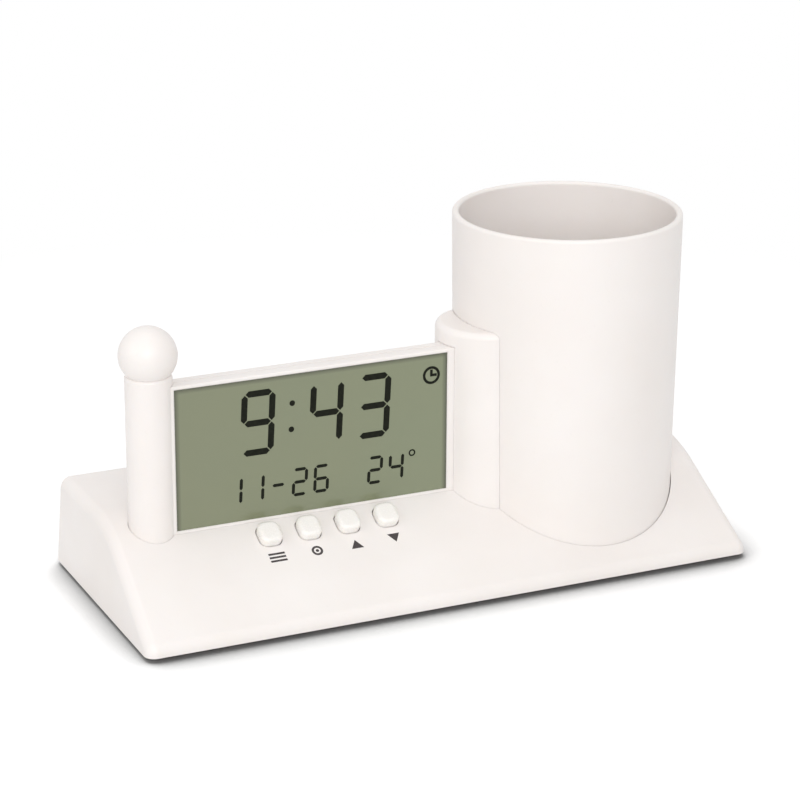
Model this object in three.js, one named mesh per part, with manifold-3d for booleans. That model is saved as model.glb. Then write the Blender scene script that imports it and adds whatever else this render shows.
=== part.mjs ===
// Desk clock pen holder: a wedge base that carries a pen cup, an upright display panel
// between a ball-topped post and a column, and a row of four keys on the slope.
// Millimetres, +Z up, front towards -Y, origin on the ground under the middle of the base.

import * as THREE from 'three';
import { mergeVertices } from 'three/addons/utils/BufferGeometryUtils.js';
import Module from 'manifold-3d';

const wasm = await Module();
wasm.setup();

// Base housing
const baseLength = 212.8;
const baseDepth = 91.1;
const baseHeight = 29.2; // from the lower edge to the flat top
const frontLip = 3.3; // height of the front edge
const kneeY = -1.45; // where the slope would meet the flat top
const kneeRadius = 40;
const lipRadius = 4;
const backRadius = 4;
const cornerRadius = 3.5;
const sideDraft = 0.074; // inward lean of the end faces
const baseWall = 2.2;
const fit = 0.3; // clearance between pieces that fit together
const overrun = 1; // how far a cut or a joined solid runs past a face

// Feet and bottom cover
const footHeight = 1.5;
const footRadius = 5.5;
const footChamfer = 0.5;
const footInsetX = 26; // from the base's plan edges to a foot's centre
const footInsetY = 14;
const coverThickness = 3;
const screwInset = 10.5; // from the base's ends to a cover screw
const screwInsetBack = 12;
const screwInsetFront = 20;
const bossRadius = 3.4;
const minRound = 0.2; // least fillet left where a wall is thicker than its corner

// Screws
const screwRadius = 1.3;
const screwHeadRadius = 2.5;
const screwHeadHeight = 1.2;
const screwSink = 0.2; // depth of a head below its face
const screwGrip = 5; // thread length in a boss
const screwPoint = 1;
const screwSpare = 1; // pilot hole beyond a screw's tip
const screwTipRadius = 0.4;
const screwChamfer = 0.4;
const crossWidth = 0.7;
const crossLength = 3;
const crossDepth = 0.6;

// Pen cup
const cupInset = 47.45; // cup's axis from the base's right end
const cupY = -0.75;
const cupRimRadius = 38;
const cupFootRadius = 36.7;
const cupHeight = 113.1; // rim above the base's lower edge
const cupWall = 2.3;
const cupRimRound = 1;
const cupFloorLift = 7; // underside of the cup's floor above the bottom cover
const cupFloor = 2.2;
const cupScrewCircle = 22;
const cupScrewCount = 3;
const locatorHeight = 2;
const locatorWall = 2;

// Column between the display and the cup
const columnToCup = 29.85; // between the column's axis and the cup's
const columnY = -2;
const columnRadius = 16.9;
const columnHeight = 79.5; // top above the base's lower edge
const columnRound = 2.2;
const columnWall = 2;
const columnScrewInset = 4.2; // from the column's left side

// Post and ball
const postInset = 17.15; // post's axis from the base's left end
const postY = -4;
const postRadius = 7.6;
const ballRadius = 9.4;
const ballLift = 83.4; // ball centre above the base's lower edge
const ballNeckRadius = 6.9;
const postChamfer = 0.6;
const spigotRadius = 3;
const spigotLength = 6;

// Display panel
const panelFront = -9.45;
const panelThickness = 8.6;
const panelHeight = 73.8; // top above the base's lower edge
const postBite = 3.6; // depth of the panel's end inside the post
const columnBite = 4.6; // and behind the column's left side
const frameDepth = 4.6; // front part of the panel's thickness
const frameLeft = 2.5;
const frameRight = 5.1;
const frameTop = 1.3;
const frameLip = 0.7; // thickness of the rim in front of the glass
const rimOverlap = 0.9; // glass hidden behind the rim
const sillHeight = 0.9; // frame's lower rail under the glass
const sillLap = 0.4; // glass hidden behind the lower rail
const troughDepth = 1.2; // seat of the frame below the slope, at the panel's front
const troughWall = 1.8;
const rearWall = 1.6;
const glassThickness = 2.4;
const reflectorThickness = 0.3;
const zebraHeight = 3;
const zebraDepth = 0.9;
const boardThickness = 1;
const boardLift = 1.2; // board's lower edge above the base
const tongueWidth = 8;
const tongueThickness = 3;
const tongueDrop = 8; // tongue length below the panel's lower edge
const tongueInset = 9; // tongue's centre from the panel's ends

// Keys
const keyCount = 4;
const keyPitch = 13.6;
const keyRowShift = 0.725; // row's centre right of the panel's
const keyRowY = -15.05;
const keyWidth = 7.4;
const keyLength = 8.2;
const keyRound = 2.6;
const keyRise = 3;
const keyCrown = 1.2;
const keyFlange = 0.9;
const keyFlangeThickness = 1;
const keyTravel = 0.8;
const plungerRadius = 1.6;
const switchSize = 6;
const switchHeight = 3.5;
const switchFloor = 0.5;
const keyBoardMargin = 12; // board beyond the outer keys' centres
const keyBoardLength = 15;
const keyBoardThickness = 1.2;
const boardBossInset = 4.5;

// Electronics on the display board
const blobRadius = 5;
const blobTopRadius = 3.5;
const blobHeight = 1;
const crystalRadius = 0.7;
const crystalLength = 6;
const crystalOffset = 15;
const crystalGap = 0.1;
const ribbonWidth = 12;
const ribbonThickness = 0.5;
const ribbonRoom = 1; // on each side of it in the rear cover
const ribbonOverlap = 4; // ribbon lying on each board

// Battery bay
const cellRadius = 5.25;
const cellLength = 43.5;
const nubRadius = 2.6;
const nubLength = 1;
const cellChamfer = 0.5;
const contactRoom = 2.2;
const contactThickness = 0.5;
const contactWidth = 7.4;
const contactBump = 0.9;
const contactBumpTip = 1.6;
const contactTab = 1.5; // tab outside the tray for a lead
const tabWidth = 3;
const trayShift = 4.6; // tray's centre right of the key row's
const trayWall = 1.5;
const doorLedge = 1.2; // thickness of the cover's ledge under the door's tongues
const doorTongue = 1.6; // tongue's reach over the ledge
const doorGrip = 0.5; // depth of the finger grooves
const doorGripCount = 3;
const doorGripPitch = 3;
const doorGripLength = 20;
const doorGripWidth = 1;
const leadRadius = 0.6;
const leadShift = 24.9; // where the first lead meets the key board, left of its middle
const leadPitch = 3;
const leadStub = 2; // straight length at a tab
const leadRise = 4; // straight length under the key board
const leadInset = 2.5; // from the key board's upper edge

// Buzzer
const buzzerShift = 44; // left of the tray's middle
const buzzerY = 18;
const buzzerRadius = 10;
const buzzerThickness = 0.6;
const buzzerSeat = 1.2;
const buzzerRim = 1.4;
const buzzerRimRise = 1;
const soundHoleRadius = 1.1;
const soundHoleCircle = 4.5;
const soundHoleCount = 5;

// Places that follow from the sizes above
const baseZ = footHeight;
const topZ = baseZ + baseHeight;
const coverTop = baseZ + coverThickness;
const cupX = baseLength / 2 - cupInset;
const columnX = cupX - columnToCup;
const columnLeft = columnX - columnRadius;
const postX = postInset - baseLength / 2;
const panelLeft = postX + postRadius - postBite;
const panelRight = columnLeft + columnBite;
const keyRowX = (panelLeft + panelRight) / 2 + keyRowShift;
const trayX = keyRowX + trayShift;
const leadX = keyRowX - leadShift;
const buzzerX = trayX - buzzerShift;
const slopeTan = (baseHeight - frontLip) / (kneeY + baseDepth / 2);
const slopeAngle = Math.atan(slopeTan);
const slopeZ = (y) => baseZ + frontLip + slopeTan * (y + baseDepth / 2);
const reach = 2 * Math.max(baseLength, cupHeight + footHeight); // longer than anything cut

const roundSteps = { large: 44, medium: 24, small: 16, screw: 10, lead: 8 };
const leadSteps = 20; // along a lead

function toSolid(geometry) {
  const bare = geometry.clone();
  bare.deleteAttribute('normal');
  bare.deleteAttribute('uv');
  const merged = mergeVertices(bare, 1e-4);
  const index = merged.index.array;
  const triangles = [];
  for (let i = 0; i < index.length; i += 3) {
    const [a, b, c] = index.slice(i, i + 3);
    if (a !== b && b !== c && c !== a) triangles.push(a, b, c);
  }
  const vertProperties = new Float32Array(merged.attributes.position.array);
  const triVerts = new Uint32Array(triangles);
  return new wasm.Manifold(new wasm.Mesh({ numProp: 3, vertProperties, triVerts }));
}

function toGeometry(solid) {
  const mesh = solid.getMesh();
  const geometry = new THREE.BufferGeometry();
  geometry.setAttribute('position', new THREE.BufferAttribute(mesh.vertProperties, 3));
  geometry.setIndex(new THREE.BufferAttribute(mesh.triVerts, 1));
  geometry.computeVertexNormals();
  return geometry;
}

const join = (first, ...others) => others.reduce((solid, other) => solid.add(other), first);
const cut = (first, ...others) => others.reduce((solid, other) => solid.subtract(other), first);
const common = (first, other) => first.intersect(other);

function box(xRange, yRange, zRange) {
  const ranges = [xRange, yRange, zRange];
  const [x, y, z] = ranges.map(([low, high]) => high - low);
  const middle = ranges.map(([low, high]) => (low + high) / 2);
  return toSolid(new THREE.BoxGeometry(x, y, z).translate(...middle));
}

function upright(radius, zRange, x, y, steps = roundSteps.small) {
  const [low, high] = zRange;
  const geometry = new THREE.CylinderGeometry(radius, radius, high - low, steps);
  return toSolid(geometry.rotateX(Math.PI / 2).translate(x, y, (low + high) / 2));
}

// A turned solid about a vertical axis; the profile holds [radius, height] pairs.
function turned(profile, x, y, steps) {
  const points = profile.map(([radius, height]) => new THREE.Vector2(radius, height));
  return toSolid(new THREE.LatheGeometry(points, steps).rotateX(Math.PI / 2).translate(x, y, 0));
}

function arc(center, radius, from, to, steps) {
  const points = [];
  for (let i = 0; i <= steps; i++) {
    const angle = from + ((to - from) * i) / steps;
    points.push([center[0] + radius * Math.cos(angle), center[1] + radius * Math.sin(angle)]);
  }
  return points;
}

function shapeOf(points) {
  return new THREE.Shape(points.map(([x, y]) => new THREE.Vector2(x, y)));
}

function prism(points, zRange) {
  const [low, high] = zRange;
  const options = { depth: high - low, bevelEnabled: false };
  return toSolid(new THREE.ExtrudeGeometry(shapeOf(points), options).translate(0, 0, low));
}

// Carries an outline drawn in the Y and Z of the object, and its depth along X, into place.
const sideways = new THREE.Matrix4().makeBasis(
  new THREE.Vector3(0, 1, 0), new THREE.Vector3(0, 0, 1), new THREE.Vector3(1, 0, 0));

function sidePrism(points, xRange) {
  const [low, high] = xRange;
  const options = { depth: high - low, bevelEnabled: false };
  const geometry = new THREE.ExtrudeGeometry(shapeOf(points), options).translate(0, 0, low);
  return toSolid(geometry.applyMatrix4(sideways));
}

// Rounds each corner of a convex polygon, given anticlockwise as [x, y, radius, steps].
function roundedOutline(corners) {
  const outline = [];
  corners.forEach(([x, y, radius, steps], i) => {
    if (!radius) {
      outline.push([x, y]);
      return;
    }
    const before = corners[(i + corners.length - 1) % corners.length];
    const after = corners[(i + 1) % corners.length];
    const inward = Math.atan2(y - before[1], x - before[0]);
    let turn = Math.atan2(after[1] - y, after[0] - x) - inward;
    if (turn < 0) turn += 2 * Math.PI;
    const tangent = radius * Math.tan(turn / 2);
    const center = [
      x - tangent * Math.cos(inward) - radius * Math.sin(inward),
      y - tangent * Math.sin(inward) + radius * Math.cos(inward),
    ];
    outline.push(...arc(center, radius, inward - Math.PI / 2, inward + turn - Math.PI / 2, steps));
  });
  return outline;
}

function roundedRectangle(width, length, radius, steps = 3) {
  const x = width / 2;
  const y = length / 2;
  return roundedOutline([[-x, -y], [x, -y], [x, y], [-x, y]].map((p) => [...p, radius, steps]));
}

// The wedge of the base with every face moved in by inset: it runs on below the base.
function wedge(inset) {
  const roundLeft = (radius) => Math.max(radius - inset, minRound);
  const front = -baseDepth / 2 + inset;
  const back = baseDepth / 2 - inset;
  const top = topZ - inset;
  const drop = inset / Math.cos(slopeAngle);
  const low = baseZ - 3 * cornerRadius;
  const knee = kneeY + (drop - inset) / slopeTan;
  const outline = roundedOutline([
    [front, low, 0, 0],
    [back, low, 0, 0],
    [back, top, roundLeft(backRadius), 3],
    [knee, top, roundLeft(kneeRadius), 4],
    [front, slopeZ(front) - drop, roundLeft(lipRadius), 2],
  ]);
  const round = roundLeft(cornerRadius);
  const half = baseLength / 2 - inset;
  const geometry = new THREE.ExtrudeGeometry(shapeOf(outline), {
    depth: 2 * (half - round),
    bevelThickness: round,
    bevelSize: round,
    bevelOffset: -round,
    bevelSegments: 2,
  });
  geometry.translate(0, 0, round - half).applyMatrix4(sideways);
  const position = geometry.attributes.position;
  for (let i = 0; i < position.count; i++) {
    const lean = 1 - (sideDraft * (position.getZ(i) - baseZ)) / (baseLength / 2);
    position.setX(i, position.getX(i) * lean);
  }
  return toSolid(geometry);
}

const above = (z) => box([-reach, reach], [-reach, reach], [z, reach]);
const slab = (low, high) => box([-reach, reach], [-reach, reach], [low, high]);

// Screw spots under the base
const coverScrews = [-1, 1].flatMap((side) => [
  [side * (baseLength / 2 - screwInset), baseDepth / 2 - screwInsetBack],
  [side * (baseLength / 2 - screwInset), -baseDepth / 2 + screwInsetFront],
]);
const cupScrews = Array.from({ length: cupScrewCount }, (_, i) => {
  const angle = Math.PI / 2 + (2 * Math.PI * i) / cupScrewCount;
  return [cupX + cupScrewCircle * Math.cos(angle), cupY + cupScrewCircle * Math.sin(angle)];
});
const columnScrew = [columnLeft + columnScrewInset, columnY];
const postScrew = [postX, postY];
const bottomScrews = [...coverScrews, ...cupScrews, columnScrew, postScrew];
const pilotTop = coverTop + screwGrip + screwSpare;
const pilot = ([x, y]) => upright(screwRadius + fit, [baseZ, pilotTop], x, y, roundSteps.screw);

// A pan screw standing head down, with a cross in its head
function screw(headZ, tipZ, x, y) {
  const shoulder = headZ + screwHeadHeight;
  const body = turned([
    [0, headZ], [screwHeadRadius - screwChamfer, headZ], [screwHeadRadius, headZ + screwChamfer],
    [screwHeadRadius, shoulder], [screwRadius, shoulder], [screwRadius, tipZ - screwPoint],
    [screwTipRadius, tipZ], [0, tipZ],
  ], x, y, roundSteps.screw);
  const arm = crossLength / 2;
  const half = crossWidth / 2;
  const depth = [headZ - overrun, headZ + crossDepth];
  return cut(body,
    box([x - arm, x + arm], [y - half, y + half], depth),
    box([x - half, x + half], [y - arm, y + arm], depth));
}

// Pen cup
const cupRimZ = baseZ + cupHeight;
const cupRadius = (z) => cupFootRadius + ((cupRimRadius - cupFootRadius) * (z - baseZ)) / cupHeight;
const cupFloorLow = coverTop + cupFloorLift;
const cupFloorTop = cupFloorLow + cupFloor;

function cupBody(spread) {
  const low = [cupRadius(0) + spread, 0];
  const high = [cupRadius(reach) + spread, reach];
  return turned([[0, 0], low, high, [0, reach]], cupX, cupY, roundSteps.large);
}

function penCup() {
  const inner = (z) => cupRadius(z) - cupWall;
  const roundLow = cupRimZ - cupRimRound;
  const shell = turned([
    [inner(coverTop), coverTop],
    [cupRadius(coverTop), coverTop],
    ...arc([cupRadius(cupRimZ) - cupRimRound, roundLow], cupRimRound, 0, Math.PI / 2, 3),
    ...arc([inner(cupRimZ) + cupRimRound, roundLow], cupRimRound, Math.PI / 2, Math.PI, 3),
    [inner(coverTop), coverTop],
  ], cupX, cupY, roundSteps.large);
  const floorRadius = inner(cupFloorLow) + cupWall / 2;
  const floor = upright(floorRadius, [cupFloorLow, cupFloorTop], cupX, cupY, roundSteps.large);
  const bossTop = cupFloorLow + cupFloor / 2;
  const bosses = cupScrews.map(([x, y]) => upright(bossRadius, [coverTop, bossTop], x, y));
  return cut(join(shell, floor, ...bosses), ...cupScrews.map(pilot));
}

// Column: a round pillar that runs into the cup
const columnTop = baseZ + columnHeight;

function column() {
  const edge = arc([columnRadius - columnRound, columnTop - columnRound], columnRound, 0, Math.PI / 2, 4);
  const outer = turned(
    [[0, coverTop], [columnRadius, coverTop], ...edge, [0, columnTop]], columnX, columnY, roundSteps.large);
  const panelWalls = box(
    [-reach, panelRight + fit + columnWall],
    [panelFront - fit - columnWall, panelBack + fit + columnWall],
    [troughFloor - columnWall, reach]);
  const hollowTop = columnTop - columnRound - columnWall;
  const hollow = cut(
    upright(columnRadius - columnWall, [coverTop - overrun, hollowTop], columnX, columnY, roundSteps.large),
    cupBody(fit + columnWall), panelWalls, upright(bossRadius, [coverTop, reach], ...columnScrew));
  return cut(outer, hollow, cupBody(fit), panelSlot, pilot(columnScrew));
}

// Display panel
const panelBack = panelFront + panelThickness;
const panelTop = baseZ + panelHeight;
const troughFloor = slopeZ(panelFront) - troughDepth;
const panelSlot = box(
  [panelLeft - fit, panelRight + fit], [panelFront - fit, panelBack + fit], [troughFloor, panelTop + fit]);
const frameBack = panelFront + frameDepth;
const glassFront = panelFront + frameLip;
const glassBack = glassFront + glassThickness;
const boardFront = glassBack + zebraDepth;
const boardBack = boardFront + boardThickness;
const windowX = [panelLeft + frameLeft, panelRight - frameRight];
const windowHigh = panelTop - frameTop;
const pocketX = [windowX[0] - rimOverlap, windowX[1] + rimOverlap];
const pocketLow = slopeZ(boardBack) + boardLift;
const pocketHigh = windowHigh + frameTop / 2;
const frameLow = troughFloor + fit;
const glassLow = frameLow + sillHeight + fit;
const windowLow = glassLow + sillLap;
const ribbonX = [keyRowX - ribbonWidth / 2, keyRowX + ribbonWidth / 2];
const tongueX = [panelLeft + tongueInset, panelRight - tongueInset];
const tongueBack = panelBack - rearWall / 2;
const shrink = ([low, high], by) => [low + by, high - by];

function panelFrame() {
  return cut(
    box([panelLeft, panelRight], [panelFront, frameBack], [frameLow, panelTop]),
    box(windowX, [panelFront - overrun, glassFront + overrun], [windowLow, windowHigh]),
    box(pocketX, [glassFront, frameBack + overrun], [glassLow - fit, pocketHigh]));
}

function tongue(x, spread) {
  return box(
    [x - tongueWidth / 2 - spread, x + tongueWidth / 2 + spread],
    [tongueBack - tongueThickness - spread, tongueBack + spread],
    [slopeZ(tongueBack - tongueThickness) - tongueDrop, pocketLow]);
}

function rearCover() {
  const inside = [frameBack - overrun, panelBack - rearWall];
  const cavity = box(pocketX, inside, [pocketLow, pocketHigh]);
  const cableWay = box(shrink(ribbonX, -ribbonRoom), inside, [0, pocketLow + overrun]);
  const block = box([panelLeft, panelRight], [frameBack, panelBack], [baseZ, panelTop]);
  const shell = cut(block, wedge(-fit), cavity, cableWay);
  const ahead = box([-reach, reach], [-reach, frameBack], [0, reach]);
  const tongues = tongueX.map((x) => cut(tongue(x, 0), ahead));
  return join(shell, ...tongues);
}

const pieceX = shrink(pocketX, fit);
const sheetHigh = pocketHigh - fit;
const zebraTop = glassLow + zebraHeight;

// Key row: local x along the row, y up the slope, z out of the surface
const keyFrame = new THREE.Group();
keyFrame.position.set(keyRowX, keyRowY, slopeZ(keyRowY));
keyFrame.rotation.x = slopeAngle;
keyFrame.updateMatrix();
const keyPlaces = Array.from({ length: keyCount }, (_, i) => (i - (keyCount - 1) / 2) * keyPitch);
const inKeyFrame = (solid) => toSolid(toGeometry(solid).applyMatrix4(keyFrame.matrix));
const flangeTop = -baseWall;
const flangeLow = flangeTop - keyFlangeThickness;
const plungerTop = flangeLow - fit;
const switchTop = flangeLow - keyTravel - 2 * fit;
const switchLow = switchTop - switchHeight;
const plungerLow = switchLow + switchFloor + keyTravel + fit;
const keyBoardTop = switchLow - fit;
const keyBoardLow = keyBoardTop - keyBoardThickness;
const keyBoardHalf = ((keyCount - 1) / 2) * keyPitch + keyBoardMargin;
const boardBosses = [-1, 1].map((side) => [side * (keyBoardHalf - boardBossInset), 0]);
const move = (points, by) => points.map(([x, y]) => [x + by, y]);

function keyCap(x) {
  const outline = move(roundedRectangle(keyWidth, keyLength, keyRound), x);
  const block = new THREE.ExtrudeGeometry(shapeOf(outline), {
    depth: keyRise - keyCrown - flangeTop,
    bevelThickness: keyCrown,
    bevelSize: keyCrown,
    bevelOffset: -keyCrown,
    bevelSegments: 3,
  });
  const body = common(toSolid(block.translate(0, 0, flangeTop)), above(flangeTop - keyCrown / 2));
  const size = [keyWidth + 2 * keyFlange, keyLength + 2 * keyFlange];
  const flange = move(roundedRectangle(...size, keyRound + keyFlange), x);
  return join(body, prism(flange, [flangeLow, flangeTop]));
}

function tactSwitch(x) {
  const half = switchSize / 2;
  const body = box([x - half, x + half], [-half, half], [switchLow, switchTop]);
  const bore = upright(plungerRadius + fit, [switchLow + switchFloor, switchTop + overrun], x, 0);
  return cut(body, bore);
}

function keyBoard() {
  const half = keyBoardLength / 2;
  const plate = box([-keyBoardHalf, keyBoardHalf], [-half, half], [keyBoardLow, keyBoardTop]);
  const through = [keyBoardLow - overrun, keyBoardTop + overrun];
  const holes = boardBosses.map(([x, y]) => upright(screwRadius + fit, through, x, y, roundSteps.screw));
  return cut(plate, ...holes);
}

// Ribbon: down from the display board, through the base, then along the key board
function ribbon() {
  const y = boardBack;
  const boardEnd = new THREE.Vector3(0, keyBoardLength / 2, keyBoardTop + fit).applyMatrix4(keyFrame.matrix);
  const down = new THREE.Vector2(Math.cos(slopeAngle), Math.sin(slopeAngle));
  const lay = (y + ribbonThickness - boardEnd.y) / down.x;
  const bend = [y + ribbonThickness, boardEnd.z + lay * down.y];
  const end = [boardEnd.y - ribbonOverlap * down.x, boardEnd.z - ribbonOverlap * down.y];
  const rise = ribbonThickness / Math.cos(slopeAngle);
  const outline = [
    [y, pocketLow + ribbonOverlap], [y, bend[1] + rise - ribbonThickness * slopeTan],
    [end[0], end[1] + rise], end, bend, [y + ribbonThickness, pocketLow + ribbonOverlap],
  ];
  return sidePrism(outline, ribbonX);
}

// Battery bay
const bayWidth = 4 * cellRadius + 3 * fit;
const bayLength = cellLength + nubLength + 2 * contactRoom;
const bayBack = baseDepth / 2 - baseWall - fit - trayWall - fit;
const bayY = [bayBack - bayWidth, bayBack];
const bayX = [trayX - bayLength / 2, trayX + bayLength / 2];
const trayXRange = shrink(bayX, -trayWall);
const trayYRange = shrink(bayY, -trayWall);
const cellZ = coverTop + fit + cellRadius;
const trayRoof = cellZ + cellRadius + fit;
const cellPlaces = [bayY[0] + fit + cellRadius, bayY[1] - fit - cellRadius];
const doorY = [bayY[0] + fit, baseDepth / 2];
const doorLedgeTop = baseZ + doorLedge;
const doorTop = coverTop - fit;

function batteryTray() {
  const block = box(trayXRange, trayYRange, [coverTop, trayRoof + trayWall]);
  const tabSlots = cellPlaces.map((y) => contactTabBox(y, fit));
  return cut(block, box(bayX, bayY, [coverTop - overrun, trayRoof]), ...tabSlots);
}

const tabEnd = trayXRange[0] - contactTab;
const contactTabBox = (y, spread) => box(
  [tabEnd, bayX[0] + spread],
  [y - tabWidth / 2 - spread, y + tabWidth / 2 + spread],
  [cellZ - contactThickness / 2 - spread, cellZ + contactThickness / 2 + spread]);

function cell(y, side) {
  const profile = [
    [0, 0], [cellRadius - cellChamfer, 0], [cellRadius, cellChamfer], [cellRadius, cellLength - cellChamfer],
    [cellRadius - cellChamfer, cellLength], [nubRadius, cellLength], [nubRadius, cellLength + nubLength],
    [0, cellLength + nubLength],
  ];
  const points = profile.map(([radius, height]) => new THREE.Vector2(radius, height));
  const geometry = new THREE.LatheGeometry(points, roundSteps.small);
  geometry.translate(0, -(cellLength + nubLength) / 2, 0).rotateZ((side * Math.PI) / 2);
  return toSolid(geometry.translate(trayX, y, cellZ));
}

// A leaf contact on the bay's end wall, with a bump towards each cell that it serves
function contact(side, places) {
  const wall = side < 0 ? bayX[0] : bayX[1];
  const face = wall - side * contactThickness;
  const half = contactWidth / 2;
  const yRange = [Math.min(...places) - half, Math.max(...places) + half];
  const zRange = [cellZ - half, cellZ + half];
  const leaf = box([Math.min(wall, face), Math.max(wall, face)], yRange, zRange);
  const bumps = places.map((y) => {
    const geometry = new THREE.CylinderGeometry(contactBumpTip, nubRadius, contactBump, roundSteps.screw);
    geometry.rotateZ((side * Math.PI) / 2);
    return toSolid(geometry.translate(face - side * (contactBump - contactThickness) / 2, y, cellZ));
  });
  return side < 0 ? join(leaf, ...bumps, contactTabBox(places[0], 0)) : join(leaf, ...bumps);
}

function batteryDoor() {
  const plate = box(shrink(bayX, fit), doorY, [baseZ, doorTop]);
  const tongues = box(shrink(bayX, fit - doorTongue), doorY, [doorLedgeTop + fit, doorTop]);
  const gripX = [trayX - doorGripLength / 2, trayX + doorGripLength / 2];
  const grips = Array.from({ length: doorGripCount }, (_, i) => {
    const y = doorY[1] - (i + 2) * doorGripPitch;
    return box(gripX, [y, y + doorGripWidth], [0, baseZ + doorGrip]);
  });
  return cut(join(plate, tongues), ...grips);
}

function doorWay() {
  const open = [bayY[0], reach];
  return join(box(bayX, open, [0, reach]), box(shrink(bayX, -doorTongue), open, [doorLedgeTop, reach]));
}

// A battery lead from a contact's tab to the underside of the key board, which it meets squarely
function lead(y, i) {
  const x = leadX - i * leadPitch;
  const leadY = keyBoardLength / 2 - leadInset;
  const under = (drop) => new THREE.Vector3(x - keyRowX, leadY, keyBoardLow - fit - drop)
    .applyMatrix4(keyFrame.matrix);
  const path = new THREE.CatmullRomCurve3([
    new THREE.Vector3(tabEnd - fit, y, cellZ),
    new THREE.Vector3(tabEnd - leadStub, y, cellZ),
    new THREE.Vector3(x, y - cellRadius, cellZ),
    new THREE.Vector3(x, bayY[0] - cellRadius, cellZ),
    under(leadRise),
    under(0),
  ]);
  const sides = roundSteps.lead;
  const section = shapeOf(arc([0, 0], leadRadius, 0, 2 * Math.PI * (1 - 1 / sides), sides - 1));
  const options = { steps: leadSteps, bevelEnabled: false, extrudePath: path };
  return toSolid(new THREE.ExtrudeGeometry(section, options));
}

// Bottom cover, with sunk screw holes, the battery door's way, the cup's locator and the buzzer's seat
function bottomCover() {
  const plate = common(wedge(baseWall + fit), slab(baseZ, coverTop));
  const holes = bottomScrews.map(pilot);
  const sink = screwSink + screwHeadHeight + fit;
  const sinks = bottomScrews.map(([x, y]) =>
    upright(screwHeadRadius + fit, [0, baseZ + sink], x, y, roundSteps.screw));
  const locatorRadius = cupRadius(coverTop) - cupWall - fit;
  const locatorZ = [coverTop - overrun, coverTop + locatorHeight];
  const locator = cut(
    upright(locatorRadius, locatorZ, cupX, cupY, roundSteps.large),
    upright(locatorRadius - locatorWall, [0, reach], cupX, cupY, roundSteps.large));
  const seatZ = [coverTop - overrun, coverTop + buzzerSeat + buzzerThickness + buzzerRimRise];
  const seat = cut(
    upright(buzzerRadius + fit + buzzerRim, seatZ, buzzerX, buzzerY, roundSteps.medium),
    upright(buzzerRadius + fit, [coverTop + buzzerSeat, reach], buzzerX, buzzerY, roundSteps.medium),
    upright(buzzerRadius - buzzerRim, [coverTop, reach], buzzerX, buzzerY, roundSteps.medium));
  const sounds = Array.from({ length: soundHoleCount }, (_, i) => {
    const angle = (2 * Math.PI * i) / soundHoleCount;
    const x = buzzerX + soundHoleCircle * Math.cos(angle);
    const y = buzzerY + soundHoleCircle * Math.sin(angle);
    return upright(soundHoleRadius, [0, reach], x, y, roundSteps.screw);
  });
  return cut(join(plate, locator, seat), doorWay(), ...holes, ...sinks, ...sounds);
}

const keyOpening = (x, spread, zRange) => prism(
  move(roundedRectangle(keyWidth + 2 * spread, keyLength + 2 * spread, keyRound + spread), x), zRange);

// Base housing
function baseShell() {
  const hollow = cut(common(wedge(0), above(baseZ)), wedge(baseWall));
  const inside = wedge(baseWall / 2);
  const coverBosses = coverScrews.map(([x, y]) => upright(bossRadius, [coverTop, reach], x, y));
  const keyBosses = boardBosses.map(([x, y]) =>
    inKeyFrame(upright(bossRadius, [keyBoardTop + fit, overrun], x, y)));
  const bosses = [...coverBosses, ...keyBosses].map((boss) => common(boss, inside));
  const keyPilots = boardBosses.map(([x, y]) =>
    inKeyFrame(upright(screwRadius + fit, [keyBoardLow, keyBoardTop + screwGrip], x, y, roundSteps.screw)));
  const keyHoles = keyPlaces.map((x) => inKeyFrame(join(
    keyOpening(x, fit, [-2 * baseWall, baseWall]),
    keyOpening(x, keyFlange + fit, [keyBoardTop, fit - baseWall]))));
  const trough = [panelFront - fit, frameBack + fit];
  const troughBlock = common(
    box([postX, columnX], shrink(trough, -troughWall), [troughFloor - troughWall, reach]), inside);
  const seat = box([postX, columnX], trough, [troughFloor, reach]);
  const cableWay = box(shrink(ribbonX, -fit), [frameBack, panelBack - rearWall], [coverTop, reach]);
  const notch = box(shrink(bayX, -doorTongue), [baseDepth / 2 - 2 * baseWall, reach], [0, coverTop]);
  return cut(join(hollow, troughBlock, ...bosses),
    seat, cupBody(fit), upright(columnRadius + fit, [0, reach], columnX, columnY, roundSteps.large),
    upright(postRadius + fit, [0, reach], postX, postY, roundSteps.medium),
    ...tongueX.map((x) => tongue(x, fit)), cableWay, notch,
    ...coverScrews.map(pilot), ...keyPilots, ...keyHoles);
}

// Post and ball
const ballZ = baseZ + ballLift;
const neckZ = ballZ - Math.sqrt(ballRadius ** 2 - ballNeckRadius ** 2);

function post() {
  const body = turned([
    [0, coverTop], [postRadius, coverTop], [postRadius, neckZ - fit - postChamfer],
    [ballNeckRadius, neckZ - fit], [0, neckZ - fit],
  ], postX, postY, roundSteps.medium);
  const socket = upright(spigotRadius + fit, [neckZ - spigotLength - 2 * fit, reach], postX, postY);
  return cut(body, socket, panelSlot, pilot(postScrew));
}

function ball() {
  const start = Math.asin((neckZ - ballZ) / ballRadius);
  const spigotLow = neckZ - spigotLength;
  const round = arc([0, ballZ], ballRadius, start, Math.PI / 2, 12).slice(0, -1);
  return turned([
    [0, spigotLow], [spigotRadius, spigotLow], [spigotRadius, neckZ], ...round, [0, ballZ + ballRadius],
  ], postX, postY, roundSteps.medium);
}

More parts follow.
